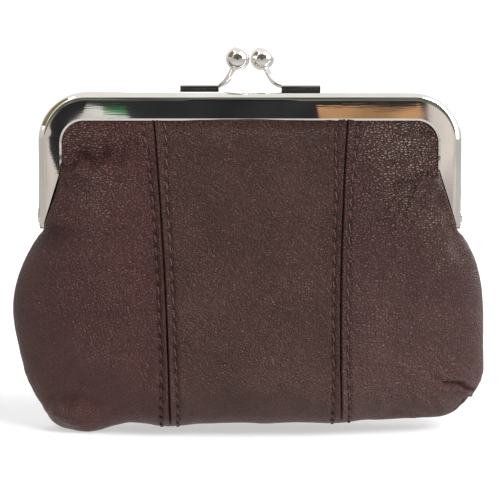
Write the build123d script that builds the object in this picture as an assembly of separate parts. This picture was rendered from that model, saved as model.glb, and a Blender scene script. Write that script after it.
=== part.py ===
from build123d import *
import os

# Kiss-lock coin purse: a lined leather pouch between two hinged sheet-metal frame halves.
#
# X runs across the width, Y through the depth with the front at -Y, and Z up. The origin is on
# the surface that the purse stands on, at the centre of its footprint. Depths are given as
# distances from the parting plane (Y = 0) towards the front. The rear half mirrors the front
# one, apart from its ears, which lie inside the front ears, and its clasp, which is turned
# half way round.

# ---- frame halves -------------------------------------------------------------------------
FRAME_WIDTH = 105.0  # over the outside of the arms
FRAME_TOP = 84.8  # height of the frame's top face
HINGE_Z = 54.0  # height of the axis that both halves turn about
HALF_DEPTH = 4.6  # front to back of one half
PARTING_GAP = 0.3  # between the closed halves
SHEET = 0.5  # thickness of the frame's sheet
TOP_BAND = 7.0  # height of the face across the top
ARM_BAND = 5.9  # width of the face down each arm
OUTER_CORNER_R = 12.0
INNER_CORNER_R = 5.5
EDGE_R = 2.2  # rounding between the face and the outside
CHANNEL_END_Z = 65.0  # below this the lips of the channel narrow
BACK_LIP_END_Z = 58.5
BACK_LIP_END_WIDTH = 2.0
ARM_END_Z = 51.3  # of the front lips, short enough to stay apart as both halves open
FRONT_LIP_END_WIDTH = 1.5
LIP_BEVEL_WIDTH = 0.5  # along the inner edge of the front face
LIP_BEVEL_DEPTH = 0.26

# ---- hinge --------------------------------------------------------------------------------
EAR_R = 3.4
EAR_THICKNESS = 0.6
EAR_GAP = 0.1  # between a front ear and the rear ear inside it
EAR_NECK_INSET = 0.15  # back of an ear's neck inside its half's depth
EAR_NECK_RISE = 3.4  # of the neck above the end of the back lip
EAR_NECK_OVERLAP = 0.5  # of the neck past the flat part of the outside wall
EAR_CLEARANCE = 0.2  # radial, between an ear and the other half's front lip
RIVET_R = 1.2
RUNNING_CLEARANCE = 0.05  # radial, rivet in front ear
SEATING_CLEARANCE = 0.02  # radial, rivet in rear ear
RIVET_HEAD_R = 2.0
RIVET_HEAD_HEIGHT = 0.5
RIVET_HEAD_ROUND = 0.3
HEAD_GAP = 0.05  # under the outer head

# ---- clasp --------------------------------------------------------------------------------
BALL_R = 2.9
BALL_X = 3.03  # ball centre from the middle of the frame
BALL_LEAN = 1.7  # ball centre beyond the parting plane
BALL_Z = 93.0
FOOT_START = 7.8  # inner end of a foot from the middle of the frame
FOOT_LENGTH = 9.6
FOOT_WIDTH = 3.0
FOOT_HEIGHT = 0.7
STRIP_WIDTH = 2.6
STRIP_HEIGHT = 1.2
STRIP_CROWN = 0.72  # rounding along the top of a strip
CLASP_DEPTH = 1.95  # centre line of a foot
ARM_EDGE_R = 0.35
# free part of a clasp arm: shares of the way from foot to ball along X, in depth and in
# height, direction there, width and thickness
CLASP_STATIONS = [
    (-0.06, 0.00, 0.00, (-1, 0.0, 0.0), 2.3, 1.10),
    (0.25, 0.08, 0.10, (-1, 0.35, 0.75), 2.1, 1.05),
    (0.58, 0.38, 0.38, (-1, 0.9, 1.6), 1.9, 1.00),
    (0.88, 0.80, 0.78, (-1, 1.1, 2.4), 1.7, 1.00),
]

# ---- pouch --------------------------------------------------------------------------------
LEATHER = 1.15
LINING = 0.4
LAYER_GAP = 0.1  # between leather, lining, cord and channel
CORD_R = 0.8  # paper cord that wedges the pouch into its channel
FLANGE_INSET = 2.1  # edge of the leather inside the frame's outline
CORD_INSET = 1.6  # cord's centre line inside the frame's outline
FLANGE_END_Z = 66.0
LOWER_TOP_Z = 47.6  # the lower pouch ends here, clear of the upper one as it swings
UPPER_BOTTOM_Z = 53.0
SIDE_SLIT_R = 7.6  # room around the hinge axis for the lower corners of the upper walls
SIDE_SLIT_X = 44.0  # from here outwards
TIP_THINNING = 1.6  # a wall measured along X at the side seam, per unit of thickness

# height, half width and half depth of the lower pouch, which is elliptical in plan
LOWER_STATIONS = [
    (0.0, 45.0, 10.0),
    (4.0, 51.0, 14.0),
    (10.0, 55.6, 17.0),
    (20.0, 58.4, 18.8),
    (30.0, 59.4, 19.2),
    (40.0, 57.4, 18.4),
    (54.0, 50.6, 15.8),
]
# height, half width, depth at the side and depth at the middle of an upper wall
UPPER_STATIONS = [
    (UPPER_BOTTOM_Z, 49.8, 6.4, 15.9),
    (58.0, 47.9, 6.2, 14.0),
    (64.5, 46.5, 4.2, 11.2),
    (71.0, 46.5, 4.15, 7.6),
    (FRAME_TOP - TOP_BAND - LAYER_GAP, 46.5, 4.15, 4.2),
]
# X of the two joins between the panels, at the base and under the frame's top
JOIN_BOTTOM_X = (-20.0, 23.5)
JOIN_TOP_X = (-23.4, 24.4)

# ---- worked-out values --------------------------------------------------------------------
HALF_WIDTH = FRAME_WIDTH / 2
BACK = PARTING_GAP / 2  # depth of a half's back face
FRONT = BACK + HALF_DEPTH  # depth of a half's front face
OPENING_TOP = FRAME_TOP - TOP_BAND
OPENING_HALF_WIDTH = HALF_WIDTH - ARM_BAND
LEATHER_FACE = FRONT - SHEET - LAYER_GAP  # depth of the leather's outside in the channel
LINING_FACE = LEATHER_FACE - LEATHER - LAYER_GAP
CORD_DEPTH = LINING_FACE - LINING - LAYER_GAP - CORD_R
REAR_EAR_X = HALF_WIDTH - 2 * EAR_THICKNESS - EAR_GAP  # inner face of a rear ear
FRONT_EAR_X = HALF_WIDTH - EAR_THICKNESS
NECK_TOP = BACK_LIP_END_Z + EAR_NECK_RISE
NECK_BACK = BACK + EAR_NECK_INSET
NECK_FRONT = FRONT - EDGE_R + EAR_NECK_OVERLAP
FAR = 200.0  # reaches past everything


def arch(half_width, top, corner_r, bottom):
    """Outline with straight sides and two rounded top corners, drawn in X and Z."""
    outline = Pos(0, (top + bottom) / 2) * Rectangle(2 * half_width, top - bottom)
    return fillet(outline.vertices().group_by(Axis.Y)[-1], corner_r)


def in_depth(sketch, start, end):
    """Solid of a sketch drawn in X and Z, between two depths in front of the parting plane."""
    return extrude(Plane.XZ.offset(start) * sketch, end - start)


def across(sketch, start, end):
    """Solid of a sketch drawn in Y and Z, between two distances along X."""
    return extrude(Plane.YZ.offset(start) * sketch, end - start)


def both_sides(solid):
    """A right-hand solid together with its mirror image on the left."""
    return [solid, mirror(solid, Plane.YZ)]


def joined(solids):
    """One shape from solids that overlap or touch."""
    whole = solids[0]
    for solid in solids[1:]:
        whole += solid
    return whole


# ---- frame halves -------------------------------------------------------------------------
def rounded_block(inset):
    """The frame's outline as a block, inset all round, with its outer front edge rounded."""
    bottom = ARM_END_Z - inset
    outline = arch(HALF_WIDTH - inset, FRAME_TOP - inset, OUTER_CORNER_R - inset, bottom)
    block = in_depth(outline, BACK + inset, FRONT - inset)
    front_face = block.faces().sort_by(Axis.Y)[0]
    rim = [edge for edge in front_face.edges() if edge.center().Z > bottom + SHEET]
    return fillet(rim, EDGE_R - inset)


def lip_taper(end_z, end_width):
    """Area between the arms that narrows the lips from CHANNEL_END_Z down to their end."""
    end_x = HALF_WIDTH - end_width
    return Polygon(
        (-end_x, 0),
        (end_x, 0),
        (end_x, end_z),
        (OPENING_HALF_WIDTH, CHANNEL_END_Z),
        (-OPENING_HALF_WIDTH, CHANNEL_END_Z),
        (-end_x, end_z),
        align=None,
    )


def channel():
    """One half's channel: front face, outside wall and back lip, open towards the pouch. Below
    the back lip only the front face is left, past the ears."""
    opening = arch(OPENING_HALF_WIDTH, OPENING_TOP, INNER_CORNER_R, 0)
    front_gap = opening + lip_taper(ARM_END_Z, FRONT_LIP_END_WIDTH)
    back_gap = opening + lip_taper(BACK_LIP_END_Z, BACK_LIP_END_WIDTH)
    middle = (BACK + FRONT) / 2
    below = Pos(0, BACK_LIP_END_Z / 2) * Rectangle(FAR, BACK_LIP_END_Z)
    shell = rounded_block(0) - rounded_block(SHEET)
    shell -= in_depth(front_gap, middle, FAR)
    shell -= in_depth(back_gap, 0, middle)
    return bevelled_lip(shell - in_depth(below, 0, EAR_R + EAR_CLEARANCE))


def bevelled_lip(shell):
    """A channel whose front face is bevelled along its inner edge."""
    inset = EDGE_R + SHEET
    outline = arch(HALF_WIDTH - inset, FRAME_TOP - inset, OUTER_CORNER_R - inset, 0)
    within = in_depth(outline, 0, FAR).solid()
    front_face = shell.faces().filter_by(Axis.Y).sort_by(Axis.Y)[0]
    edges = [edge for edge in front_face.edges() if within.is_inside(edge.center())]
    return chamfer(edges, LIP_BEVEL_WIDTH, LIP_BEVEL_DEPTH, reference=front_face)


def ear_outline():
    """Round end of an arm about the hinge axis, with the neck that leads up to the channel."""
    neck = Polygon(
        (-NECK_BACK, HINGE_Z),
        (-NECK_BACK, NECK_TOP),
        (-NECK_FRONT, NECK_TOP),
        (-EAR_R, HINGE_Z),
        align=None,
    )
    return Pos(0, HINGE_Z) * Circle(EAR_R) + neck


def hinge_bore(radius):
    """Cylinder along the hinge axis through both arms."""
    return across(Pos(0, HINGE_Z) * Circle(radius), -FAR, FAR)


def make_front_frame():
    ear = across(ear_outline(), FRONT_EAR_X, HALF_WIDTH)
    return joined([channel()] + both_sides(ear)) - hinge_bore(RIVET_R + RUNNING_CLEARANCE)


def make_rear_frame():
    """As the front half, with ears set inwards by a step so that they pass inside its ears."""
    ear = across(ear_outline(), REAR_EAR_X, REAR_EAR_X + EAR_THICKNESS)
    step_centre = Pos(-(NECK_BACK + NECK_FRONT) / 2, NECK_TOP - EAR_NECK_RISE / 2)
    step_outline = step_centre * Rectangle(NECK_FRONT - NECK_BACK, EAR_NECK_RISE)
    step = across(step_outline, REAR_EAR_X, FRONT_EAR_X + SHEET / 2)
    half = joined([channel()] + both_sides(ear + step))
    return mirror(half - hinge_bore(RIVET_R + SEATING_CLEARANCE), Plane.XZ)


def make_rivet():
    """Right-hand rivet: a shank through both ears with a low domed head at each end."""
    disc = Cylinder(RIVET_HEAD_R, RIVET_HEAD_HEIGHT)
    head = fillet(disc.edges().group_by(Axis.Z)[-1], RIVET_HEAD_ROUND)
    inner_head = Rot(0, -90, 0) * head
    outer_head = Rot(0, 90, 0) * head
    shank = across(Circle(RIVET_R), REAR_EAR_X, HALF_WIDTH + HEAD_GAP)
    middle = RIVET_HEAD_HEIGHT / 2
    inner = Pos(REAR_EAR_X - middle, 0, 0) * inner_head
    outer = Pos(HALF_WIDTH + HEAD_GAP + middle, 0, 0) * outer_head
    return Pos(0, 0, HINGE_Z) * joined([inner, shank, outer])


# ---- clasp --------------------------------------------------------------------------------
def make_clasp_arm(ball):
    """Front arm, on the right: a strip on a soldered foot that sweeps up and back to its ball."""
    foot_middle = FOOT_START + FOOT_LENGTH / 2
    foot = Pos(foot_middle, -CLASP_DEPTH, FRAME_TOP + FOOT_HEIGHT / 2) * Box(
        FOOT_LENGTH, FOOT_WIDTH, FOOT_HEIGHT
    )
    strip_z = FRAME_TOP + FOOT_HEIGHT + STRIP_HEIGHT / 2
    strip = Box(FOOT_LENGTH, STRIP_WIDTH, STRIP_HEIGHT)
    crown = strip.faces().sort_by(Axis.Z)[-1].edges().filter_by(Axis.X)
    strip = Pos(foot_middle, -CLASP_DEPTH, strip_z) * fillet(crown, STRIP_CROWN)

    run = BALL_X - FOOT_START
    shift = CLASP_DEPTH + BALL_LEAN
    rise = BALL_Z - strip_z
    sections = []
    for along, aside, up, direction, width, thickness in CLASP_STATIONS:
        centre = (FOOT_START + along * run, -CLASP_DEPTH + aside * shift, strip_z + up * rise)
        across_arm = Vector(0, 0, 1).cross(Vector(*direction))
        plane = Plane(origin=centre, x_dir=across_arm, z_dir=direction)
        sections.append(plane * RectangleRounded(width, thickness, ARM_EDGE_R))
    return joined([foot, strip, loft(sections)]) - ball


def make_clasp_ball():
    return Pos(BALL_X, BALL_LEAN, BALL_Z) * Sphere(BALL_R)


def half_turn(solid):
    """The same piece turned half way round the Z axis, from the front right to the rear left."""
    return Rot(0, 0, 180) * solid


# ---- pouch --------------------------------------------------------------------------------
def panel_cells():
    """Three solids in front of the parting plane that cut a wall into its panels."""
    def join_point(side, z):
        share = z / OPENING_TOP
        return (JOIN_BOTTOM_X[side] * (1 - share) + JOIN_TOP_X[side] * share, z)

    low, high = -10.0, 100.0
    left_low, left_high = join_point(0, low), join_point(0, high)
    right_low, right_high = join_point(1, low), join_point(1, high)
    outlines = {
        "left": Polygon((-FAR, low), left_low, left_high, (-FAR, high), align=None),
        "centre": Polygon(left_low, right_low, right_high, left_high, align=None),
        "right": Polygon(right_low, (FAR, low), (FAR, high), right_high, align=None),
    }
    return {name: in_depth(outline, 0, FAR) for name, outline in outlines.items()}


def lower_body(inset):
    """Solid inside of the lower pouch, inset by a thickness from its outside."""
    sections = []
    for z, half_width, half_depth in LOWER_STATIONS:
        ellipse = Ellipse(half_width - TIP_THINNING * inset, half_depth - inset)
        sections.append(Pos(0, 0, max(z, inset)) * ellipse)
    return loft(sections)


def lower_wall(outside, inside):
    """Front half of the lower pouch's wall between two insets, with a slit under each hinge."""
    front = Pos(0, -FAR / 2, LOWER_TOP_Z / 2) * Box(2 * FAR, FAR, LOWER_TOP_Z)
    wall = (lower_body(outside) - lower_body(inside)) & front
    for slit in both_sides(across(Pos(0, HINGE_Z) * Circle(SIDE_SLIT_R), SIDE_SLIT_X, FAR)):
        wall -= slit
    return wall


def upper_slice(z, half_width, side, middle, thickness):
    """Horizontal slice through an upper wall: an arc from side to side with a thickness."""
    outer = ThreePointArc((-half_width, -side), (0, -middle), (half_width, -side))
    inner = ThreePointArc(
        (half_width, thickness - side), (0, thickness - middle), (-half_width, thickness - side)
    )
    ends = [Line(outer @ 1, inner @ 0), Line(inner @ 1, outer @ 0)]
    return Pos(0, 0, z) * make_face([outer, ends[0], inner, ends[1]])


def upper_wall(inset, thickness):
    """Front upper wall: a bulging sheet with a flat edge all round that goes in the channel."""
    slices = []
    for z, half_width, side, middle in UPPER_STATIONS:
        slices.append(upper_slice(z, half_width, side - inset, middle - inset, thickness))
    face = LEATHER_FACE - inset
    overlap = 2 * LAYER_GAP
    opening = arch(
        OPENING_HALF_WIDTH - overlap, OPENING_TOP - overlap, INNER_CORNER_R, CHANNEL_END_Z
    )

    # the bulge starts at the edge of the opening, so it stays behind the channel's front lip
    frame_outline = arch(HALF_WIDTH, FRAME_TOP, OUTER_CORNER_R, CHANNEL_END_Z)
    bulge = loft(slices) - in_depth(frame_outline - opening, face, FAR)

    edge_outline = arch(
        HALF_WIDTH - FLANGE_INSET, FRAME_TOP - FLANGE_INSET, OUTER_CORNER_R - FLANGE_INSET, FLANGE_END_Z
    )
    return bulge + in_depth(edge_outline - opening, face - thickness, face)


def make_paper_cord():
    """Twisted paper cord along the bottom of the channel, behind the leather and lining."""
    side = HALF_WIDTH - CORD_INSET
    top = FRAME_TOP - CORD_INSET
    corner_r = OUTER_CORNER_R - CORD_INSET
    corners = [(-side, FLANGE_END_Z), (-side, top), (side, top), (side, FLANGE_END_Z)]
    points = [(x, -CORD_DEPTH, z) for x, z in corners]
    path = FilletPolyline(*points, radius=corner_r)
    return sweep(Plane(origin=points[0], z_dir=(0, 0, 1)) * Circle(CORD_R), path)


# ---- all pieces ---------------------------------------------------------------------------
def make_pouch_half():
    """Front leather panels and lining, each in a lower and an upper part."""
    pieces = {}
    lower_leather = lower_wall(0, LEATHER)
    upper_leather = upper_wall(0, LEATHER)
    for name, cell in panel_cells().items():
        pieces[f"{name}_panel_lower"] = lower_leather & cell
        pieces[f"{name}_panel_upper"] = upper_leather & cell
    lining_inset = LEATHER + LAYER_GAP
    pieces["lining_lower"] = lower_wall(lining_inset, lining_inset + LINING)
    pieces["lining_upper"] = upper_wall(lining_inset, LINING)
    pieces["paper_cord"] = make_paper_cord()
    return pieces


def make_parts():
    parts = {"front_frame": make_front_frame(), "rear_frame": make_rear_frame()}
    rivet = make_rivet()
    parts["right_hinge_rivet"] = rivet
    parts["left_hinge_rivet"] = mirror(rivet, Plane.YZ)
    ball = make_clasp_ball()
    arm = make_clasp_arm(ball)
    parts["front_clasp_arm"] = arm
    parts["front_clasp_ball"] = ball
    parts["rear_clasp_arm"] = half_turn(arm)
    parts["rear_clasp_ball"] = half_turn(ball)
    for name, piece in make_pouch_half().items():
        parts[f"front_{name}"] = piece
        parts[f"rear_{name}"] = mirror(piece, Plane.XZ)
    return parts


os.makedirs("parts", exist_ok=True)
for node, shape in make_parts().items():
    export_step(shape, f"parts/{node}.step")
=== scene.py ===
import itertools
import math

import bmesh
import bpy
import numpy as np
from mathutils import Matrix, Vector


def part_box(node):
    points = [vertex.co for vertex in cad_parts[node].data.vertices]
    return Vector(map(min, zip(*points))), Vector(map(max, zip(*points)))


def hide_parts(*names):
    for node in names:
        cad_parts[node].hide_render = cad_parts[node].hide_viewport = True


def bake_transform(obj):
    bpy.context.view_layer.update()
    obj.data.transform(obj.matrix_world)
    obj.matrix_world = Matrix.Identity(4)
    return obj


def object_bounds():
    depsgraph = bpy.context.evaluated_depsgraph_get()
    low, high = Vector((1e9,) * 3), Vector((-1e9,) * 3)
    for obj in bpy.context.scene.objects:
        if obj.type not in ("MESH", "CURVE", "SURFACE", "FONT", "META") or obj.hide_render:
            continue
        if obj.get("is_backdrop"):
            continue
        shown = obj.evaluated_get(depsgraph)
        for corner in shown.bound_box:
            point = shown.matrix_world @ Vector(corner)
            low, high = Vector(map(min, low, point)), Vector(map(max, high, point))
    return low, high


# A kiss-lock coin purse: six leather panels, their stitching and the lining, around the chrome
# frame of the CAD model. Sizes are in millimetres and turned into metres as each mesh is made.

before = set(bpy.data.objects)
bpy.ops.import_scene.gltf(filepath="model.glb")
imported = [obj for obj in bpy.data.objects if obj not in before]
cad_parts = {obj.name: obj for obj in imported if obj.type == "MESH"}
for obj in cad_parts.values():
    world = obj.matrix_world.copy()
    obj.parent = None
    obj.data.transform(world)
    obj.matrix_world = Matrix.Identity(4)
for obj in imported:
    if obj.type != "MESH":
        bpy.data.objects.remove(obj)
cad_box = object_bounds()

MM = 0.001
frame_high = np.array(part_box("front_frame")[1]) / MM
FRAME_TOP = frame_high[2]
FRAME_HALF_WIDTH = frame_high[0]

# ---- driving sizes of the pouch ---------------------------------------------------------------
LEATHER = 1.1
LINING = 0.35
LINING_INSET = 1.3  # lining's outside from the leather's outside
LINING_SLACK = 0.25  # furthest it hangs away from its place
LINING_RIPPLE, LINING_SEED = 12.0, 5
LINING_FIRST_ROW = 4  # grid row at its bottom edge
LINING_COLUMN_STEP = 2  # columns of the leather's grid to one of the lining's
ROW_STEP = 0.55  # grid spacing up the leather
EDGE_STEP = 0.10  # grid spacing across the leather beside a join
FAR_STEP = 0.6  # grid spacing across the leather elsewhere
STEP_GROWTH = 1.13
CENTRE_SPAN = 45.0  # rough width of a panel, from which its columns are spaced
SIDE_SPAN = 42.0
TUCK = 2.2  # leather beyond its visible edge, in the channel or folded in
TUCK_COLUMNS = 5
TUCK_ROLL = 1.1  # depth of an edge that is rolled inwards
SEAM_GAP = 0.015  # of either side from the middle of the seam
FAR_AWAY = 100.0

# One section per line, from the bottom seam up to the frame: height, half width on the left and
# on the right, depth at the side, depth in the middle, how flat the middle is, and where the edge
# is tucked: 1 outwards in the channel, -1 rolled inwards.
HEIGHT, LEFT, RIGHT, SIDE_DEPTH, MIDDLE_DEPTH, FLATNESS, TUCK_WAY = range(7)
SECTIONS = [
    (0.6, 41.5, 43.0, 0.0, 0.0, 0.80, -1),
    (0.0, 45.0, 45.5, 0.0, 5.2, 0.78, -1),
    (0.3, 48.0, 50.0, 0.0, 9.6, 0.78, -1),
    (2.4, 50.6, 53.2, 0.0, 13.2, 0.80, -1),
    (6.5, 53.0, 56.4, 0.0, 16.0, 0.84, -1),
    (12.5, 55.9, 58.6, 0.0, 18.2, 0.90, -1),
    (21.0, 58.4, 58.7, 0.0, 19.4, 0.95, -1),
    (30.5, 59.7, 58.8, 0.0, 19.5, 1.00, -1),
    (38.5, 58.3, 57.8, 0.0, 18.8, 1.00, -1),
    (45.5, 55.3, 55.4, 0.0, 17.5, 1.00, -1),
    (48.6, 53.3, 53.6, 0.5, 16.8, 1.00, -1),
    (50.4, 51.6, 51.8, 3.2, 16.3, 1.05, -1),
    (52.2, 50.8, 51.0, 5.4, 15.8, 1.10, -1),
    (56.0, 49.4, 49.6, 6.2, 14.7, 1.20, -1),
    (60.0, 48.0, 48.3, 6.1, 13.3, 1.32, -1),
    (63.0, 47.2, 47.4, 5.6, 12.1, 1.43, -1),
    (65.0, 46.9, 46.9, 5.1, 11.2, 1.51, -0.9),
    (66.4, 46.5, 46.5, 4.2, 10.5, 1.57, 0.9),
    (68.0, 46.6, 46.6, 4.15, 9.6, 1.63, 1),
    (70.0, 46.6, 46.6, 4.15, 8.8, 1.68, 1),
    (72.5, 46.6, 46.6, 4.15, 7.9, 1.70, 1),
    (75.5, 46.6, 46.6, 4.15, 6.3, 1.72, 1),
    (77.6, 46.6, 46.6, 4.15, 4.4, 1.80, 1),
    (79.0, 46.6, 46.6, 4.15, 4.15, 1.90, 1),
    (82.5, 46.6, 46.6, 4.15, 4.15, 2.00, 1),
]
# X of the two joins between panels at the base and at the frame's opening, and how far each one
# bows towards the middle halfway up
JOIN_LOW_X = (-19.7, 22.8)
JOIN_HIGH_X = (-23.8, 24.1)
JOIN_BOW_X = (1.15, -1.45)
JOIN_HIGH_Z = 77.8
JOIN_GAP_DEPTH = 0.62
JOIN_GAP_WIDTH = 0.18
# Relief beside a join, from the join outwards: height, distance from the join, and width. The
# distance and the width are each given in millimetres and in shares of the stitching's offset.
JOIN_PROFILE = [
    (0.30, (0.40, 0.0), (0.34, 0.0)),  # rounded edge of the panel
    (0.30, (0.0, 0.50), (0.0, 0.36)),  # ridge over the turned-under leather
    (-0.34, (0.0, 1.0), (0.42, 0.0)),  # dip along the stitching
    (0.14, (1.3, 1.0), (0.80, 0.0)),  # faint ridge beyond it
]
JOIN_RELIEF_END_Z, JOIN_RELIEF_FULL_Z = 78.4, 76
JOIN_RELIEF_AT_BOTTOM = 0.2  # share of it left along the bottom's edge
# Outline, inside the channel, that the tucked edge keeps to
CHANNEL_CLEARANCE = 2.3
TUCK_TOP = FRAME_TOP - CHANNEL_CLEARANCE
TUCK_CORNER_R = 9.7
TUCK_HALF_WIDTH = FRAME_HALF_WIDTH - CHANNEL_CLEARANCE
# Heights between which the leather comes free of the channel, its sides part above the side seam,
# and the groove of that seam ends
HELD_Z, FREE_Z = 79, 74
PART_START_Z, PART_END_Z = 47, 50
GROOVE_START_Z, GROOVE_END_Z = 48.5, 52
PAST_GROOVE = 40.0  # distance that takes the leather above the side seam out of its reach
SEAM_GROOVE_DEPTH = 0.45
SEAM_GROOVE_WIDTH = 0.55
PUCKER_PITCH = 3.4
PUCKER_HEIGHT = 0.02
PUCKER_HEIGHT_AT_CORNERS = 0.07  # added there
PUCKER_REACH = 3.2  # distance from the seam at which they have mostly faded
# Slow undulation of the leather: height and wavelength, then the same of a finer one
SWELL, SWELL_LENGTH = 0.16, 17.0
FINE_SWELL, FINE_SWELL_LENGTH = 0.05, 5.5

# ---- stitching ---------------------------------------------------------------------------------
STITCH_PITCH = 3.15
STITCH_LENGTH = 2.3
STITCH_START = 1.0  # from a row's lower end to its first stitch, before the shift
STITCH_SHIFT = 0.8  # sets the stitches of the four rows off against each other
STITCH_SLANT = 0.45  # sideways, from one end of a stitch to the other
ROW_OFFSET = 1.75  # distance of a row of stitches from its join
ROW_OFFSET_AT_FRAME = 0.9  # added there
ROW_OFFSET_AT_BASE = 0.3
ROW_STRIP = 0.3  # half width of the strip of leather that gives a row its direction
ROW_POINT_STEP = 0.2
ROW_HIDDEN_POINTS = 5  # at the lower end, under the purse
THREAD_R = 0.25
THREAD_ARCH = 0.34  # height of a stitch over its ends
THREAD_SINK = 0.20  # its ends below the leather
THREAD_TAPER = 0.45  # its radius there, to that in the middle
HOLE_R = 0.42
HOLE_STRETCH = 1.15
# The dome is a dark painted shadow of a needle hole
HOLE_CROWN = 0.36  # top, rim and bottom of the dome that shows a hole, over the leather
HOLE_RIM = 0.18
HOLE_BOTTOM = -0.1


# ---- small helpers -------------------------------------------------------------------------------
def smoothstep(low, high, value):
    share = np.clip((value - low) / (high - low), 0, 1)
    return share * share * (3 - 2 * share)


def bell(value, centre, width):
    return np.exp(-(((value - centre) / width) ** 2))


def spline_table(stations, step):
    """Rows of a table, interpolated smoothly at about even steps along its height and depth."""
    table = np.array(stations, float)
    chord = np.hypot(np.diff(table[:, HEIGHT]), np.diff(table[:, MIDDLE_DEPTH]))
    knots = np.concatenate([[0], np.cumsum(chord)])
    slopes = np.gradient(table, knots, axis=0)
    places = np.linspace(0, knots[-1], int(knots[-1] / step) + 1)
    cell = np.clip(np.searchsorted(knots, places, side="right") - 1, 0, len(knots) - 2)
    span = (knots[cell + 1] - knots[cell])[:, None]
    share = (places - knots[cell])[:, None] / span
    start, end = table[cell], table[cell + 1]
    return (
        (1 + 2 * share) * (1 - share) ** 2 * start
        + share * (1 - share) ** 2 * span * slopes[cell]
        + share**2 * (3 - 2 * share) * end
        + share**2 * (share - 1) * span * slopes[cell + 1]
    )


def ripple(x, z, length, seed, waves=9):
    """Gentle random undulation between about -1 and 1, with waves of about the given length."""
    random = np.random.default_rng(seed)
    total = np.zeros(np.broadcast(x, z).shape)
    for _ in range(waves):
        angle = random.uniform(0, math.tau)
        number = math.tau / (length * random.uniform(0.7, 1.6))
        phase = random.uniform(0, math.tau)
        total += np.sin(number * (x * math.cos(angle) + z * math.sin(angle)) + phase)
    return total / math.sqrt(waves)


def normals(grid):
    """Unit normals of a grid of points, pointing to the front."""
    normal = np.cross(np.gradient(grid, axis=1), np.gradient(grid, axis=0))
    return normal / np.maximum(np.linalg.norm(normal, axis=2, keepdims=True), 1e-9)


def sheet_normals(grid, panel):
    """Normals of a panel's grid, where its tucked columns take those of the visible edge."""
    first = TUCK_COLUMNS if panel == "left" else 0
    last = TUCK_COLUMNS if panel == "right" else 0
    seen = normals(grid[:, first : grid.shape[1] - last])
    return np.pad(seen, ((0, 0), (first, last), (0, 0)), mode="edge")


def arc_lengths(grid, axis):
    """Distance along a grid's rows or columns from its first point."""
    steps = np.linalg.norm(np.diff(grid, axis=axis), axis=2)
    start = np.zeros_like(np.take(steps, [0], axis=axis))
    return np.concatenate([start, np.cumsum(steps, axis=axis)], axis=axis)


def mirrored(points):
    """The same points on the rear."""
    return points * np.array([1, -1, 1])


def make_object(name, vertices, faces, material):
    mesh = bpy.data.meshes.new(name)
    mesh.from_pydata((np.asarray(vertices) * MM).tolist(), [], faces)
    work = bmesh.new()
    work.from_mesh(mesh)
    bmesh.ops.recalc_face_normals(work, faces=work.faces)
    work.to_mesh(mesh)
    work.free()
    mesh.polygons.foreach_set("use_smooth", [True] * len(mesh.polygons))
    mesh.materials.append(material)
    piece = bpy.data.objects.new(name, mesh)
    bpy.context.collection.objects.link(piece)
    return piece


def make_sheet(name, outside, inside, material):
    """A closed sheet between two grids of the same shape."""
    rows, columns = outside.shape[:2]
    count = rows * columns
    index = np.arange(count).reshape(rows, columns)

    def quads(a, b, c, d):
        return np.stack([a.ravel(), b.ravel(), c.ravel(), d.ravel()], axis=1)

    top = quads(index[:-1, :-1], index[:-1, 1:], index[1:, 1:], index[1:, :-1])
    rim = np.concatenate([index[0, :], index[1:, -1], index[-1, -2::-1], index[-2::-1, 0]])
    sides = quads(rim[:-1], rim[:-1] + count, rim[1:] + count, rim[1:])
    faces = np.concatenate([top, top[:, ::-1] + count, sides])
    points = np.concatenate([outside.reshape(-1, 3), inside.reshape(-1, 3)])
    return make_object(name, points, faces.tolist(), material)


# ---- pouch surface -------------------------------------------------------------------------------
def graded_shares(width, first_step, last_step):
    """Shares from 0 to 1 across a panel, whose spacing grows from both ends up to FAR_STEP."""
    sides = []
    for step in (first_step, last_step):
        places = [0.0]
        while places[-1] < width / 2:
            places.append(places[-1] + step)
            step = min(step * STEP_GROWTH, FAR_STEP)
        sides.append(np.array(places) * (width / 2) / places[-1])
    return np.concatenate([sides[0], width - sides[1][-2::-1]]) / width


def join_x(side, z):
    share = z / JOIN_HIGH_Z
    straight = JOIN_LOW_X[side] * (1 - share) + JOIN_HIGH_X[side] * share
    return straight + 4 * JOIN_BOW_X[side] * share * (1 - share)


def row_offset(z):
    """Distance of the stitching from a join: wider at the frame and a little at the base."""
    at_frame = ROW_OFFSET_AT_FRAME * smoothstep(58, 76, z)
    return ROW_OFFSET + at_frame + ROW_OFFSET_AT_BASE * smoothstep(20, 4, z)


def bottom_wave(x):
    """Height of the bottom's edge: it sags at the left corner and at the left join, and is
    highest from the right join on."""
    return (
        2.7 * smoothstep(-43, -29, x) - 0.9 * bell(x, -20, 5) + 0.6 * smoothstep(24, 30, x)
    )


def section_points(rows, x):
    """Front surface over the given X at each row, as a grid of points."""
    height, left, right, side, middle, flatness = (rows[:, i, None] for i in range(TUCK_WAY))
    width = np.where(x < 0, left, right)
    across = np.clip(np.abs(x) / width, 0, 1)
    rise = np.sqrt(np.maximum(1 - across**2, 0)) ** flatness
    depth = side + (middle - side) * rise
    z = height + bottom_wave(x) * smoothstep(16, 1, height)
    return np.stack([x, -depth, z], axis=2)


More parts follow.
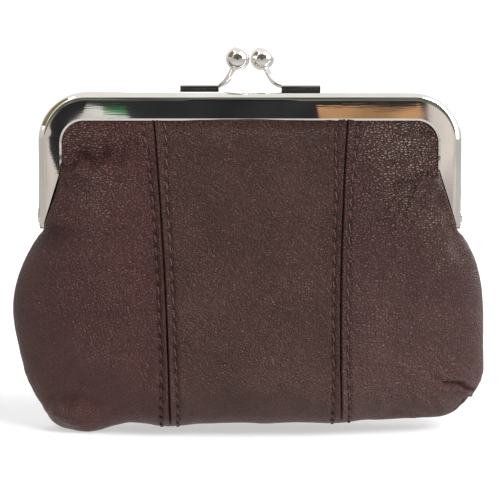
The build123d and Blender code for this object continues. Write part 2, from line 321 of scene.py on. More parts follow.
def panel_grid(rows, panel):
    """Front surface of one panel, with columns from left to right."""
    height = rows[:, HEIGHT, None]
    if panel == "centre":
        start, end = join_x(0, height), join_x(1, height)
        shares = graded_shares(CENTRE_SPAN, EDGE_STEP, EDGE_STEP)
        return section_points(rows, start + (end - start) * shares)
    side, sign, column = (0, -1, LEFT) if panel == "left" else (1, 1, RIGHT)
    width = rows[:, column, None]
    turn = np.arccos(np.clip(np.abs(join_x(side, height)) / width, 0, 1))
    shares = graded_shares(SIDE_SPAN, FAR_STEP, EDGE_STEP)
    grid = section_points(rows, sign * width * np.cos(turn * shares))
    grid = kept_in_channel(np.concatenate([tuck_columns(rows, grid[:, :1], sign), grid], axis=1))
    return grid if panel == "left" else grid[:, ::-1]


def tuck_columns(rows, edge, sign):
    """Columns beyond a panel's outer edge: out into the channel above, rolled inwards below."""
    outwards = rows[:, TUCK_WAY, None]
    rolled = np.clip(-outwards, 0, 1) * smoothstep(0.5, 3, -edge[..., 1])
    columns = []
    for share in np.linspace(1, 1 / TUCK_COLUMNS, TUCK_COLUMNS):
        shift = np.zeros_like(edge)
        shift[..., 0] = sign * outwards * TUCK * share
        shift[..., 1] = TUCK_ROLL * rolled * math.sin(math.pi / 2 * share)
        columns.append(edge + shift)
    return np.concatenate(columns, axis=1)


def kept_in_channel(grid):
    """Moves the tucked edge inside the rounded corners of the frame."""
    above = np.clip(grid[..., 2] - (TUCK_TOP - TUCK_CORNER_R), 0, TUCK_CORNER_R)
    corner = TUCK_HALF_WIDTH - TUCK_CORNER_R + np.sqrt(TUCK_CORNER_R**2 - above**2)
    limit = np.where(above > 0, corner, np.inf)
    kept = grid.copy()
    kept[..., 0] = np.clip(grid[..., 0], -limit, limit)
    return kept


def inner_face(grid, panel, depth):
    """The panel's grid moved inwards, but kept on its own side of the middle."""
    inside = grid - sheet_normals(grid, panel) * depth
    inside[..., 1] = np.minimum(inside[..., 1], -2 * SEAM_GAP)
    return inside


# ---- surface detail ------------------------------------------------------------------------------
# Creases as X and Z of both ends, width, depth, and height of the ridge below the crease. They
# are placed like those in the photo on the front, and freely on the rear.
FRONT_CREASES = [
    # upper left, beside the frame
    (-46.3, 66.8, -42.0, 68.2, 1.5, 1.30, 1.20),
    (-42.5, 68.4, -35.0, 68.4, 1.9, 1.50, 1.60),
    (-35.5, 68.4, -28.5, 72.4, 2.0, 0.60, 0.60),
    (-45.5, 58.5, -37.5, 53.5, 3.0, 0.25, 0.30),
    # upper right, fanning out from the end of the frame
    (46.9, 65.3, 41.2, 64.4, 0.9, 1.90, 1.00),
    (41.4, 64.5, 35.0, 61.4, 0.9, 1.50, 0.90),
    (40.0, 62.6, 37.2, 54.5, 0.7, 0.75, 0.55),
    (38.0, 61.6, 34.4, 52.6, 0.7, 0.65, 0.50),
    (36.0, 60.8, 31.8, 53.2, 0.7, 0.50, 0.38),
    (46.2, 70.6, 37.5, 71.4, 0.7, 0.42, 0.32),
    (46.2, 68.6, 39.0, 69.2, 0.7, 0.48, 0.36),
    (46.2, 67.2, 41.0, 67.0, 0.6, 0.36, 0.26),
    # fine lines in the middle of the right panel
    (31.0, 33.5, 35.0, 29.0, 0.5, 0.20, 0.16),
    (35.5, 33.0, 40.5, 28.0, 0.5, 0.20, 0.16),
    (33.0, 27.5, 36.0, 23.0, 0.5, 0.17, 0.14),
    # down the right side and below the frame
    (46.6, 60.5, 50.2, 51.5, 1.6, 0.50, 0.60),
    (50.2, 51.5, 52.6, 43.0, 1.6, 0.50, 0.60),
    (33.0, 75.8, 45.6, 75.2, 1.5, 0.60, 0.60),
    (42.5, 57.5, 38.5, 51.5, 0.5, 0.28, 0.22),
    # lower right
    (42.3, 11.6, 47.4, 5.6, 0.8, 0.32, 0.22),
    (38.0, 12.2, 41.2, 7.4, 0.8, 0.22, 0.16),
    (32.2, 12.8, 34.8, 9.2, 0.8, 0.18, 0.13),
    (34.6, 7.0, 42.6, 4.6, 0.8, 0.26, 0.16),
    (48.2, 13.2, 52.4, 12.2, 0.55, 1.20, 0.80),
    (52.2, 12.3, 56.6, 9.6, 0.55, 1.20, 0.80),
    (45.0, 14.2, 48.6, 13.1, 0.7, 0.50, 0.40),
    (56.6, 8.2, 53.6, 7.0, 0.50, 1.30, 0.50),
    (53.8, 7.0, 51.2, 4.9, 0.50, 0.80, 0.45),
    # lower left
    (-50.5, 8.0, -43.5, 9.2, 2.0, 1.20, 1.10),
    (-44.0, 9.2, -37.0, 8.0, 1.7, 0.50, 0.40),
    (-49.5, 12.5, -40.5, 14.0, 1.8, 0.25, 0.20),
    (-40.0, 4.8, -33.0, 7.2, 1.8, 0.30, 0.25),
    (-48.6, 5.8, -42.8, 4.6, 0.4, 0.26, 0.18),
    (-47.0, 4.2, -41.8, 3.2, 0.4, 0.24, 0.16),
    (-49.0, 6.8, -44.6, 6.9, 0.4, 0.22, 0.15),
]
REAR_CREASES = [
    (-46.0, 66.5, -38.0, 65.0, 1.8, 0.55, 0.40),
    (-42.5, 63.5, -37.0, 56.0, 0.9, 0.30, 0.22),
    (46.5, 68.6, 37.0, 67.4, 2.2, 0.60, 0.42),
    (43.5, 63.0, 36.5, 56.5, 1.1, 0.32, 0.24),
    (-56.5, 10.5, -50.0, 13.0, 0.9, 0.90, 0.60),
    (-50.0, 13.0, -44.0, 12.5, 1.1, 0.40, 0.30),
    (50.5, 8.4, 43.5, 9.8, 1.7, 0.75, 0.55),
    (43.5, 9.8, 36.5, 8.2, 1.6, 0.30, 0.22),
    (-38.0, 30.0, -33.5, 24.5, 0.6, 0.14, 0.10),
    (36.0, 34.0, 41.5, 28.5, 0.6, 0.14, 0.10),
]

CREASE_WANDER = 0.35  # sideways swing of a crease, in widths of it
CREASE_TURN = 0.9  # radians of that swing per millimetre
CREASE_FADE = 0.9  # half length over which its ends fade, in widths
RIDGE_PLACE = 1.9  # of the ridge below the crease, in widths
RIDGE_WIDTH = 1.3


def crease_height(x, z, creases):
    """Sum of all creases at points given by their X and Z."""
    total = np.zeros_like(x)
    for x0, z0, x1, z1, width, depth, ridge in creases:
        length = math.hypot(x1 - x0, z1 - z0)
        along = ((x - x0) * (x1 - x0) + (z - z0) * (z1 - z0)) / length
        aside = ((x - x0) * (z1 - z0) - (z - z0) * (x1 - x0)) / length
        below = aside if x1 > x0 else -aside
        below = below + CREASE_WANDER * width * np.sin(along * CREASE_TURN + x0)
        end = CREASE_FADE * width
        fade = smoothstep(-end, end, along) * smoothstep(length + end, length - end, along)
        total -= depth * fade * bell(below, 0, width)
        total += ridge * fade * bell(below, RIDGE_PLACE * width, RIDGE_WIDTH * width)
    return total


def above_bottom(x, z):
    """Rises from 0 along the bottom's edge to 1 just above it."""
    return smoothstep(0.3, 3.5, z - bottom_wave(x))


def join_gap(x, z):
    """The gap between two panels at each join."""
    gap = sum(-JOIN_GAP_DEPTH * bell(x - join_x(side, z), 0, JOIN_GAP_WIDTH) for side in (0, 1))
    return gap * above_bottom(x, z)


def join_height(x, z):
    """Relief on both sides of the pressed-open joins, which is flatter at the bottom's edge and
    ends in the channel."""
    row = row_offset(z)
    total = np.zeros_like(x)
    for side in (0, 1):
        away = np.abs(x - join_x(side, z))
        total += sum(
            height * bell(away, place + place_share * row, width + width_share * row)
            for height, (place, place_share), (width, width_share) in JOIN_PROFILE
        )
    at_bottom = JOIN_RELIEF_AT_BOTTOM + (1 - JOIN_RELIEF_AT_BOTTOM) * above_bottom(x, z)
    return total * smoothstep(JOIN_RELIEF_END_Z, JOIN_RELIEF_FULL_Z, z) * at_bottom


def seam_height(x, z, to_side, to_bottom):
    """Groove and puckers along the seam that closes the pouch round its sides and bottom."""
    past_end = PAST_GROOVE * smoothstep(GROOVE_START_Z, GROOVE_END_Z, z)
    away = np.minimum(to_side + past_end, to_bottom)
    along = np.where(to_bottom < to_side, x, z + 50)
    corner = smoothstep(34, 46, np.abs(x)) * smoothstep(24, 10, z)
    wave = np.sin(along * math.tau / PUCKER_PITCH + 1.3 * np.sin(along * 0.7))
    puckers = (PUCKER_HEIGHT + PUCKER_HEIGHT_AT_CORNERS * corner) * wave
    groove = -SEAM_GROOVE_DEPTH * bell(away, 0, SEAM_GROOVE_WIDTH)
    return groove + puckers * np.exp(-away / PUCKER_REACH)


def edge_distances(grid, panel):
    """Distance of each point from the pouch's side seam and from its bottom seam."""
    to_side = np.full(grid.shape[:2], FAR_AWAY)
    if panel == "left":
        to_side = arc_lengths(grid, 1)
    if panel == "right":
        to_side = arc_lengths(grid[:, ::-1], 1)[:, ::-1]
    return np.maximum(to_side - TUCK, 0), arc_lengths(grid, 0)


def freedom(z):
    """1 below the frame, down to 0 where the channel holds the leather."""
    return smoothstep(HELD_Z, FREE_Z, z)


def swell(x, z, seed):
    """Slow undulation of the filled pouch."""
    return SWELL * ripple(x, z, SWELL_LENGTH, seed)


def fold_relief(grid, panel, creases):
    """How free the leather is, and the height of its creases, which fade with that at the channel
    and at the side seam."""
    x, z = grid[..., 0], grid[..., 2]
    to_side, _ = edge_distances(grid, panel)
    free = freedom(z) * smoothstep(0, 3.5, to_side)
    return free, free * crease_height(x, z, creases)


def detailed(grid, panel, creases, seed):
    """The panel's grid with joins, seams, creases and undulation added along its normals."""
    x, z = grid[..., 0], grid[..., 2]
    to_side, to_bottom = edge_distances(grid, panel)
    free, height = fold_relief(grid, panel, creases)
    fine_swell = FINE_SWELL * ripple(x, z, FINE_SWELL_LENGTH, seed + 1)
    height = height + free * (swell(x, z, seed) + fine_swell)
    height += join_height(x, z) + join_gap(x, z) + seam_height(x, z, to_side, to_bottom)
    outside = grid + sheet_normals(grid, panel) * height[..., None]
    # front and rear leather meet along the seam
    to_seam = np.minimum(to_side + FAR_AWAY * smoothstep(PART_START_Z, PART_END_Z, z), to_bottom)
    outside[..., 1] = np.minimum(outside[..., 1] * smoothstep(0, 0.8, to_seam), -SEAM_GAP)
    return outside


# ---- materials -----------------------------------------------------------------------------------
class Nodes:
    """Adds linked nodes to a node tree."""

    def __init__(self, tree):
        self.tree = tree

    def feed(self, socket, value):
        """Sets an input, or links it if the value is another node's output."""
        if isinstance(value, bpy.types.NodeSocket):
            self.tree.links.new(value, socket)
        else:
            socket.default_value = value

    def set(self, node, **settings):
        """Gives a node its own settings and its inputs, with _ for a space in an input's name."""
        for key, value in settings.items():
            if hasattr(node, key):
                setattr(node, key, value)
            else:
                self.feed(node.inputs[key.replace("_", " ")], value)

    def add(self, kind, *values, **settings):
        """A new node. Values without a name go to its inputs in their order."""
        node = self.tree.nodes.new("ShaderNode" + kind)
        self.set(node, **settings)
        for socket, value in zip(node.inputs, values):
            self.feed(socket, value)
        return node

    def noise(self, place, scale, **settings):
        return self.add("TexNoise", Vector=place, Scale=scale, **settings).outputs["Fac"]

    def math(self, operation, *values):
        return self.add("Math", *values, operation=operation).outputs["Value"]

    def mapping(self, place, **settings):
        return self.add("Mapping", Vector=place, **settings).outputs["Vector"]

    def map_range(self, value, start, end, **settings):
        made = self.add("MapRange", Value=value, To_Min=start, To_Max=end, **settings)
        return made.outputs["Result"]

    def ramp(self, value, stops):
        """Colour that follows the value through stops, each with a place and a colour."""
        ramp = self.add("ValToRGB", Fac=value)
        elements = ramp.color_ramp.elements
        while len(elements) < len(stops):
            elements.new(0.5)
        for element, (place, colour) in zip(elements, stops):
            element.position = place
            element.color = (*colour, 1)
        return ramp.outputs["Color"]

    def bump(self, height, strength, distance):
        made = self.add("Bump", Height=height, Strength=strength, Distance=distance)
        return made.outputs["Normal"]


def new_material(name):
    """A material with its nodes, its shader and the place of each point on the piece."""
    material = bpy.data.materials.new(name)
    material.use_nodes = True
    nodes = Nodes(material.node_tree)
    shader = material.node_tree.nodes["Principled BSDF"]
    return material, nodes, shader, nodes.add("TexCoord").outputs["Object"]


GRAIN_WARP = 0.9 * MM
CELL_STRETCH = (0.8, 1.0, 1.25)  # cells lie across the purse
WRINKLE_SCALE = (330.0, 600.0, 1150.0)
PORE_SHARE = 0.35  # heights of pores and wrinkles to that of a cell
WRINKLE_SHARE = 1.6
FLAT_GRAIN_Z, DEEP_GRAIN_Z = 12, 68
FLAT_GRAIN = 0.35  # depth of the grain at the base to that at the frame
# Pale beige that the grain's crests are mixed towards as painted highlight, in the patches given to each
# leather
PAINTED_HIGHLIGHT_COLOUR = (0.160, 0.112, 0.090, 1)


def leather_material(name, tones, cell, grain_depth, painted_light_contrast, painted_highlight_patches):
    """Pebbled leather: rounded cells between fine valleys, with slow changes between three tones.
    The grain is pulled flat at the bottom of the pouch and is deepest beside the frame. Its valleys
    carry painted shade and its crests painted highlight, both strongest beside the frame, so the
    leather is painted darker towards the bottom and lighter towards the frame. Crests are paler
    still in patches of painted highlight, which are given by X, Z, radius and strength."""
    material, nodes, shader, place = new_material(name)

    def by_height(at_base, at_frame):
        return nodes.map_range(
            height, at_base, at_frame, From_Min=FLAT_GRAIN_Z * MM, From_Max=DEEP_GRAIN_Z * MM
        )

    height = nodes.add("SeparateXYZ", place).outputs["Z"]
    warp = nodes.add("TexNoise", Vector=place, Scale=420.0, Detail=2.0).outputs["Color"]
    warped = nodes.add(
        "VectorMath", warp, [GRAIN_WARP] * 3, place, operation="MULTIPLY_ADD"
    ).outputs["Vector"]
    cells = nodes.add(
        "TexVoronoi", feature="DISTANCE_TO_EDGE", Scale=1 / (cell * MM),
        Vector=nodes.mapping(warped, Scale=CELL_STRETCH),
    ).outputs["Distance"]
    grain = nodes.map_range(cells, 0, 1, From_Max=0.32, interpolation_type="SMOOTHSTEP")
    pores = nodes.noise(place, 3200.0, Detail=3.0)
    wrinkles = nodes.noise(
        nodes.mapping(place, Scale=WRINKLE_SCALE), 1.0, Detail=2.0, Distortion=0.8
    )
    relief = nodes.math("MULTIPLY_ADD", pores, PORE_SHARE, grain)
    relief = nodes.math("MULTIPLY_ADD", wrinkles, WRINKLE_SHARE, relief)
    depth = by_height(FLAT_GRAIN * grain_depth * MM, grain_depth * MM)

    tone = nodes.noise(place, 55.0, Detail=4.0, Roughness=0.6)
    colour = nodes.ramp(tone, list(zip((0.3, 0.5, 0.72), tones)))
    flat = nodes.mapping(warped, Scale=(1, 0, 1))
    # Painted highlight: in each patch the crests are mixed towards the pale beige
    for x, z, radius, strength in painted_highlight_patches:
        away = nodes.add("VectorMath", flat, (x * MM, 0, z * MM), operation="DISTANCE")
        near = nodes.map_range(
            away.outputs["Value"], strength, 0, From_Max=radius * MM, interpolation_type="SMOOTHSTEP"
        )
        highlight_on_crests = nodes.math("MULTIPLY", near, grain)
        colour = nodes.add("MixRGB", highlight_on_crests, colour, PAINTED_HIGHLIGHT_COLOUR).outputs["Color"]
    # Painted shade in the grain's valleys and painted highlight on its crests, both growing towards the
    # frame
    painted_valley_shade = by_height(0.80, 1.05 - 0.5 * painted_light_contrast)
    painted_crest_highlight = by_height(0.90, 0.5 + painted_light_contrast)
    shade = nodes.map_range(grain, painted_valley_shade, painted_crest_highlight)
    shaded = nodes.add("VectorMath", colour, operation="SCALE", Scale=shade)
    nodes.set(
        shader,
        Base_Color=shaded.outputs["Vector"],
        Normal=nodes.bump(relief, 1.0, depth),
        Roughness=nodes.map_range(tone, 0.34, 0.48),
        Specular_IOR_Level=0.30,
    )
    return material


def twisted_material(name, dark, light, scale, distortion, relief, depth, **finish):
    """Thread or paper, twisted into slanting strands, with painted shade darkening the grooves between
    them.
    """
    material, nodes, shader, place = new_material(name)
    twist = nodes.add(
        "TexWave", Vector=place, Scale=scale, Distortion=distortion, bands_direction="DIAGONAL"
    ).outputs["Fac"]
    nodes.set(
        shader,
        Base_Color=nodes.ramp(twist, [(0.0, dark), (1.0, light)]),
        Normal=nodes.bump(twist, relief, depth * MM),
        **finish,
    )
    return material


def painted_hole_shadow_material():
    """Painted shadow inside a needle hole."""
    material, nodes, shader, place = new_material("needle_hole")
    stops = [(0.3, (0.003, 0.0015, 0.0015)), (0.7, (0.010, 0.005, 0.004))]
    nodes.set(shader, Base_Color=nodes.ramp(nodes.noise(place, 2500.0), stops), Roughness=0.9)
    return material


def chrome_material():
    """Nickel-chrome plate: nearly a mirror, with hairline scratches and a faint unevenness."""
    material, nodes, shader, place = new_material("chrome_plate")
    drawn_out = nodes.mapping(place, Rotation=(0.2, 0.5, 0.3), Scale=(160.0, 900.0, 2600.0))
    hairlines = nodes.noise(drawn_out, 1.0, Detail=2.0)
    waviness = nodes.noise(place, 60.0, Detail=1.0)
    relief = nodes.math("MULTIPLY_ADD", hairlines, 0.02, waviness)
    smear = nodes.noise(place, 90.0, Detail=3.0)
    nodes.set(
        shader,
        Base_Color=nodes.ramp(smear, [(0.3, (0.72, 0.70, 0.67)), (0.7, (0.82, 0.80, 0.78))]),
        Metallic=1.0,
        Normal=nodes.bump(relief, 0.25, 0.4 * MM),
        Roughness=nodes.map_range(smear, 0.02, 0.07, From_Min=0.35, From_Max=0.75),
    )
    return material


def lining_material():
    """Closely woven dark brown lining, with painted shade darkening it between the yarns."""
    material, nodes, shader, place = new_material("lining_cloth")
    warp, weft = (
        nodes.add(
            "TexWave", Vector=place, Scale=700.0, Distortion=0.6, bands_direction=direction
        ).outputs["Fac"]
        for direction in "XZ"
    )
    weave = nodes.math("MULTIPLY", warp, weft)
    nodes.set(
        shader,
        Base_Color=nodes.ramp(weave, [(0.0, (0.020, 0.010, 0.008)), (1.0, (0.060, 0.034, 0.027))]),
        Normal=nodes.bump(weave, 0.5, 0.1 * MM),
        Roughness=0.85,
        Sheen_Weight=0.08,
    )
    return material


# The right panel's paler tones are partly painted light, as that side of the purse is lit more strongly.
# Each leather's last list places its patches of painted highlight.
LEATHER_MATERIALS = {
    "left": leather_material(
        "leather_left",
        tones=[(0.060, 0.0195, 0.0180), (0.071, 0.0240, 0.0220), (0.088, 0.0330, 0.0300)],
        cell=0.68,
        grain_depth=0.62,
        painted_light_contrast=1.05,
        painted_highlight_patches=[(-42, 76, 9, 0.4), (-38, 62, 12, 0.3), (-46, 5, 7, 0.5)],
    ),
    "centre": leather_material(
        "leather_centre",
        tones=[(0.052, 0.0205, 0.0160), (0.0625, 0.0252, 0.0198), (0.078, 0.0340, 0.0270)],
        cell=0.60,
        grain_depth=0.55,
        painted_light_contrast=1.0,
        painted_highlight_patches=[],
    ),
    "right": leather_material(
        "leather_right",
        tones=[(0.066, 0.0275, 0.0250), (0.079, 0.0340, 0.0305), (0.097, 0.0440, 0.0390)],
        cell=0.70,
        grain_depth=0.9,
        painted_light_contrast=1.2,
        painted_highlight_patches=[(38, 73, 15, 0.9), (44, 69, 6, 0.5), (38, 59, 9, 0.6), (46, 53, 7, 0.6), (49, 45, 7, 0.5)],
    ),
}
THREAD_MATERIAL = twisted_material(
    "thread", (0.042, 0.019, 0.017), (0.110, 0.057, 0.051), scale=900.0, distortion=1.5,
    relief=0.6, depth=0.06, Roughness=0.6, Specular_IOR_Level=0.2,
)
PAINTED_HOLE_SHADOW = painted_hole_shadow_material()
CHROME_MATERIAL = chrome_material()
LINING_MATERIAL = lining_material()
PAPER_MATERIAL = twisted_material(
    "twisted_paper", (0.30, 0.22, 0.14), (0.55, 0.45, 0.32), scale=260.0, distortion=2.0,
    relief=0.7, depth=0.1, Roughness=0.9,
)


# ---- leather, lining and stitching ----------------------------------------------------------------
ROWS = spline_table(SECTIONS, ROW_STEP)
PANELS = ("left", "centre", "right")
HALVES = {
    "front": {"creases": FRONT_CREASES, "seed": 11, "rear": False},
    "rear": {"creases": REAR_CREASES, "seed": 47, "rear": True},
}


def settle(piece, half, slot, *nodes):
    """Bakes a soft piece's placement into its mesh, and hides the CAD nodes it stands in for."""
    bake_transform(piece)
    if nodes:
        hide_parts(*nodes)


def make_panel(half, panel, grid, sink):
    made = HALVES[half]
    outside = detailed(grid, panel, made["creases"], made["seed"])
    inside = inner_face(grid, panel, LEATHER + sink)
    if made["rear"]:
        outside, inside = mirrored(outside), mirrored(inside)
    name = f"{half}_{panel}_panel"
    piece = make_sheet(name, outside, inside, LEATHER_MATERIALS[panel])
    settle(piece, half, "leather", f"{name}_lower", f"{name}_upper")


def make_lining(half, grids, sinks):
    """One sheet right across, just inside the leather."""

    def across(parts):
        joined = np.concatenate([parts["left"], parts["centre"][:, 1:-1], parts["right"]], axis=1)
        return joined[LINING_FIRST_ROW:, TUCK_COLUMNS:-TUCK_COLUMNS:LINING_COLUMN_STEP]

    whole, sink = across(grids), across(sinks)
    x, z = whole[..., 0], whole[..., 2]
    hang = LINING_SLACK * np.abs(ripple(x, z, LINING_RIPPLE, LINING_SEED)) * smoothstep(72, 60, z)
    depth = LINING_INSET + (sink + hang[..., None])
    outside = inner_face(whole, "lining", depth)
    inside = inner_face(whole, "lining", depth + LINING)
    if HALVES[half]["rear"]:
        outside, inside = mirrored(outside), mirrored(inside)
    piece = make_sheet(f"{half}_lining", outside, inside, LINING_MATERIAL)
    settle(piece, half, "lining", f"{half}_lining_lower", f"{half}_lining_upper")


def thread_bead(start, end, lift, ring=8, stations=7):
    """One stitch: a thread that comes up, lies on the leather and goes down again."""
    direction = (end - start) / np.linalg.norm(end - start)
    across = np.cross(direction, lift)
    across /= np.linalg.norm(across)
    points = []
    for share in np.linspace(0, 1, stations):
        arch = math.sin(math.pi * (0.08 + 0.84 * share)) ** 0.5
        centre = start + (end - start) * share + lift * (THREAD_ARCH * arch - THREAD_SINK)
        radius = THREAD_R * (THREAD_TAPER + (1 - THREAD_TAPER) * arch)
        for turn in np.arange(ring) * math.tau / ring:
            points.append(centre + radius * (math.cos(turn) * across + math.sin(turn) * lift))
    faces = [list(range(ring)), list(range(len(points) - ring, len(points)))]
    for station in range(stations - 1):
        for side in range(ring):
            a = station * ring + side
            b = station * ring + (side + 1) % ring
            faces.append([a, b, b + ring, a + ring])
    return points, faces


def needle_hole(start, end, lift, ring=8):
    """The painted shadow of the hole beyond a stitch's end: a dark shallow dome just proud of the
    leather.
    """
    along = (end - start) / np.linalg.norm(end - start)
    across = np.cross(along, lift)
    centre = end + along * ((STITCH_PITCH - STITCH_LENGTH) / 2)
    points = [centre + lift * HOLE_CROWN]
    for turn in np.arange(ring) * math.tau / ring:
        rim = math.cos(turn) * across + HOLE_STRETCH * math.sin(turn) * along
        points.append(centre + HOLE_R * rim + lift * HOLE_RIM)
    points.append(centre + lift * HOLE_BOTTOM)
    last = ring + 1
    faces = []
    for side in range(ring):
        a = 1 + side
        b = 1 + (side + 1) % ring
        faces.append([0, a, b])
        faces.append([last, b, a])
    return points, faces


def stitch_line(side, way, seed):
    """Points and normals of the leather along one row of stitching, evenly spaced."""
    fine = spline_table(SECTIONS, ROW_POINT_STEP)
    height = fine[:, HEIGHT, None]
    x = join_x(side, height) + way * row_offset(height)
    strip = section_points(fine, np.concatenate([x - ROW_STRIP, x, x + ROW_STRIP], axis=1))
    lifts = normals(strip)[:, 1]
    points = strip[:, 1]
    x, z = points[:, 0], points[:, 2]
    relief = join_height(x, z) + swell(x, z, seed) * freedom(z)
    seen = (z < JOIN_HIGH_Z + 1) & (np.arange(len(points)) > ROW_HIDDEN_POINTS)
    return (points + lifts * relief[:, None])[seen], lifts[seen]


def row_stitches(side, way, seed):
    """Both ends and the upward direction of every stitch in one row."""
    points, lifts = stitch_line(side, way, seed)
    length = arc_lengths(points[:, None], 0)[:, 0]
    first = STITCH_START + STITCH_SHIFT * (side + 0.5 * way)
    for begin in np.arange(first, length[-1] - STITCH_PITCH, STITCH_PITCH):
        start, end = (
            np.array([np.interp(place, length, points[:, axis]) for axis in range(3)])
            for place in (begin, begin + STITCH_LENGTH)
        )
        start[0] += STITCH_SLANT / 2
        end[0] -= STITCH_SLANT / 2
        yield start, end, lifts[np.searchsorted(length, begin + STITCH_LENGTH / 2)]


def make_stitching(half):
    """Both rows beside both joins of one half: thread in one mesh, the holes' painted shadows in
    another.
    """
    made = HALVES[half]
    kinds = [("stitching", thread_bead, THREAD_MATERIAL), ("needle_holes", needle_hole, PAINTED_HOLE_SHADOW)]
    for kind, shape, material in kinds:
        vertices, faces = [], []
        for side, way in itertools.product((0, 1), (-1, 1)):
            for stitch in row_stitches(side, way, made["seed"]):
                points, point_faces = shape(*stitch)
                first = len(vertices)
                vertices.extend(points)
                faces.extend([[first + i for i in face] for face in point_faces])
        vertices = np.array(vertices)
        if made["rear"]:
            vertices = mirrored(vertices)
        settle(make_object(f"{half}_{kind}", vertices, faces, material), half, "leather")


for half in HALVES:
    panel_grids = {panel: panel_grid(ROWS, panel) for panel in PANELS}
    sinks = {}
    for panel, grid in panel_grids.items():
        _, folds = fold_relief(grid, panel, HALVES[half]["creases"])
        sinks[panel] = np.maximum(-folds, 0)[..., None]
        make_panel(half, panel, grid, sinks[panel])
    make_lining(half, panel_grids, sinks)
    make_stitching(half)


# ---- metal and cord from the CAD model -------------------------------------------------------------
METAL_EDGE = 0.22  # width of a rounded edge
METAL_EDGE_STEPS = 5
ROUNDED_ANGLE = math.radians(40)  # edges sharper than this are rounded
FACET_ANGLE = math.radians(22)  # edges sharper than this still shade as an edge
WELD_GAP = 0.001


def put_material(piece, material):
    piece.data.materials.clear()
    piece.data.materials.append(material)


def finish_metal(piece):
    """Chrome on a CAD node, with its sharp edges slightly rounded to catch the light."""
    put_material(piece, CHROME_MATERIAL)
    piece.data.polygons.foreach_set("use_smooth", [True] * len(piece.data.polygons))
    weld = piece.modifiers.new("weld", "WELD")
    weld.merge_threshold = WELD_GAP * MM
    bevel = piece.modifiers.new("edges", "BEVEL")
    bevel.width = METAL_EDGE * MM
    bevel.segments = METAL_EDGE_STEPS
    bevel.limit_method = "ANGLE"
    bevel.angle_limit = ROUNDED_ANGLE
    facets = piece.modifiers.new("facets", "EDGE_SPLIT")
    facets.split_angle = FACET_ANGLE
    shading = piece.modifiers.new("shading", "WEIGHTED_NORMAL")
    shading.weight = 100
    shading.keep_sharp = True


for name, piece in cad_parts.items():
    if "frame" in name or "clasp" in name or "rivet" in name:
        finish_metal(piece)
    if "paper_cord" in name:
        put_material(piece, PAPER_MATERIAL)


# ---- studio ---------------------------------------------------------------------------------------
CAMERA_DISTANCE = 450.0
CAMERA_ELEVATION = math.radians(6.0)
VIEW_WIDTH = 125.6  # across the picture at the purse
VIEW_CENTRE_Z = 45.2
SENSOR = 36.0
AMBIENT = 0.3  # brightness of the even light from all round
BACKDROP = 1.05  # and of the plain white in view
FLOOR_R = 40.0  # metres


def make_camera():
    data = bpy.data.cameras.new("camera")
    data.sensor_width = SENSOR
    data.lens = SENSOR * CAMERA_DISTANCE / VIEW_WIDTH
    data.clip_start = 0.01
    data.clip_end = 20.0
    camera = bpy.data.objects.new("camera", data)
    bpy.context.collection.objects.link(camera)
    target = Vector((0, 0, VIEW_CENTRE_Z)) * MM
    back = Vector((0, -math.cos(CAMERA_ELEVATION), math.sin(CAMERA_ELEVATION)))
    camera.location = target + back * CAMERA_DISTANCE * MM
    camera.rotation_euler = (-back).to_track_quat("-Z", "Y").to_euler()
    bpy.context.scene.camera = camera


def make_sun(name, direction, strength, spread):
    """A broad soft light that comes from the given direction."""
    data = bpy.data.lights.new(name, "SUN")
    data.energy = strength
    data.angle = math.radians(spread)
    light = bpy.data.objects.new(name, data)
    bpy.context.collection.objects.link(light)
    light.rotation_euler = Vector(direction).to_track_quat("Z", "Y").to_euler()


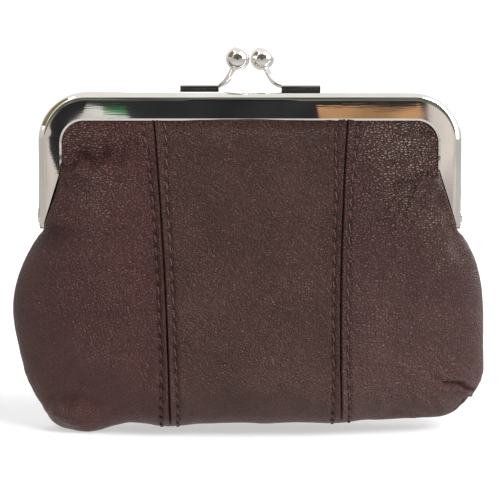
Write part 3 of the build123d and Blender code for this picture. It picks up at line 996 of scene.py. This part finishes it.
def make_card(name, corners, colour, mottle):
    """A flat mottled card that only shiny surfaces see."""
    material, nodes, shader, place = new_material(name)
    stops = [(0.35, [(1 - mottle) * c for c in colour]), (0.65, [(1 + mottle) * c for c in colour])]
    nodes.set(
        shader,
        Base_Color=(0, 0, 0, 1),
        Specular_IOR_Level=0,
        Emission_Color=nodes.ramp(nodes.noise(place, 30.0), stops),
        Emission_Strength=1.0,
    )
    card = make_object(name, corners, [list(range(len(corners)))], material)
    card.visible_camera = False
    card.visible_diffuse = False
    card.visible_shadow = False
    card.visible_transmission = False
    card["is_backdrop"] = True


def make_floor():
    """Pale floor that shiny surfaces see as bright nearby and darker further off."""
    bpy.ops.mesh.primitive_circle_add(vertices=96, radius=FLOOR_R, fill_type="NGON")
    floor = bpy.context.object
    floor.name = "studio_floor"
    material, nodes, shader, place = new_material("studio_floor")
    nodes.set(
        shader,
        Base_Color=(0.55, 0.55, 0.55, 1),
        Emission_Color=(1, 1, 1, 1),
        Emission_Strength=0.5,
        Roughness=0.9,
        Specular_IOR_Level=0.1,
    )
    away = nodes.add("VectorMath", place, operation="LENGTH").outputs["Value"]
    stops = [(0.08, (0.80, 0.78, 0.76)), (0.20, (0.66, 0.64, 0.62)), (0.60, (0.60, 0.58, 0.56))]
    reflection = nodes.add("Emission", Color=nodes.ramp(nodes.map_range(away, 0, 1), stops))
    glossy_ray = nodes.add("LightPath").outputs["Is Glossy Ray"]
    mix = nodes.add(
        "MixShader", glossy_ray, shader.outputs["BSDF"], reflection.outputs["Emission"]
    )
    output = material.node_tree.nodes["Material Output"]
    nodes.set(output, Surface=mix.outputs["Shader"])
    floor.data.materials.append(material)
    floor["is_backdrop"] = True


def make_surroundings():
    """Plain white behind the purse. Its diffuse light is even, and shiny surfaces see a white
    sky over a mottled grey horizon."""
    world = bpy.data.worlds.new("studio")
    bpy.context.scene.world = world
    world.use_nodes = True
    world.node_tree.nodes.clear()
    nodes = Nodes(world.node_tree)

    def background(colour, strength):
        return nodes.add("Background", colour, strength).outputs["Background"]

    def chosen(ray, otherwise, when_ray):
        return nodes.add("MixShader", ray, otherwise, when_ray).outputs["Shader"]

    place = nodes.add("TexCoord").outputs["Generated"]
    height = nodes.add("SeparateXYZ", place).outputs["Z"]
    raised = nodes.math("MULTIPLY_ADD", nodes.noise(place, 9.0, Detail=3.0), 0.12, height)
    greys = [(0.0, 0.60), (0.10, 0.70), (0.30, 0.90), (0.60, 1.0)]
    sky = nodes.ramp(raised, [(stop, (grey, grey * 0.985, grey * 0.965)) for stop, grey in greys])
    rays = nodes.add("LightPath").outputs
    even = background((1, 1, 1, 1), AMBIENT)
    seen = chosen(rays["Is Glossy Ray"], even, background(sky, 1.0))
    seen = chosen(rays["Is Camera Ray"], seen, background((1, 1, 1, 1), BACKDROP))
    nodes.add("OutputWorld", Surface=seen)


bpy.context.scene.view_settings.view_transform = "Standard"
make_camera()
make_floor()
make_surroundings()
make_sun("key", (0.55, -0.50, 0.70), 3.1, 35)
make_sun("fill", (-0.7, -0.25, 0.6), 0.6, 60)
make_sun("side", (0.88, -0.45, 0.22), 1.9, 50)
make_sun("back", (0.35, 0.80, 0.45), 1.6, 50)

# What the chrome and the leather's gloss see in front of the purse: a dim room up to head height,
# with the paler and darker things in it that show in the frame. Each card has its distance, its
# outline as X and Z, its colour, and how mottled it is.
FRONT_CARDS = {
    "room_card": (312, [(-330, -1), (330, -1), (330, 420), (-330, 400)], (0.15, 0.15, 0.12), 0.8),
    "pale_card": (310, [(-320, 15), (320, 15), (320, 88), (-320, 88)], (0.71, 0.655, 0.607), 0.3),
    "dark_card": (
        300, [(-86, 55), (-78, 42), (74, 42), (74, 92), (-86, 92)], (0.030, 0.031, 0.033), 0.3
    ),
    "tall_card": (301, [(-34, 42), (24, 42), (14, 165), (-26, 165)], (0.012, 0.012, 0.013), 0.3),
    "tan_card": (297, [(27, 66), (72, 66), (70, 76), (27, 76)], (0.60, 0.33, 0.16), 0.3),
    "green_card": (295, [(-60, 70), (-47, 70), (-48, 74), (-62, 74)], (0.03, 0.20, 0.06), 0.3),
    "white_card": (298, [(-74, 66), (-45, 67), (-47, 70), (-70, 76)], (0.85, 0.83, 0.80), 0.3),
}
for name, (distance, outline, colour, mottle) in FRONT_CARDS.items():
    make_card(name, [(x, -distance, z) for x, z in outline], colour, mottle)
olive_corners = [(-330, -250, 150), (-330, 150, 150), (-330, 150, 600), (-330, -250, 600)]
make_card("olive_card", olive_corners, (0.26, 0.22, 0.10), 0.6)

boxes = {"cad": cad_box, "visual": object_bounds()}
{k: [list(corner) for corner in v] for k, v in boxes.items()}
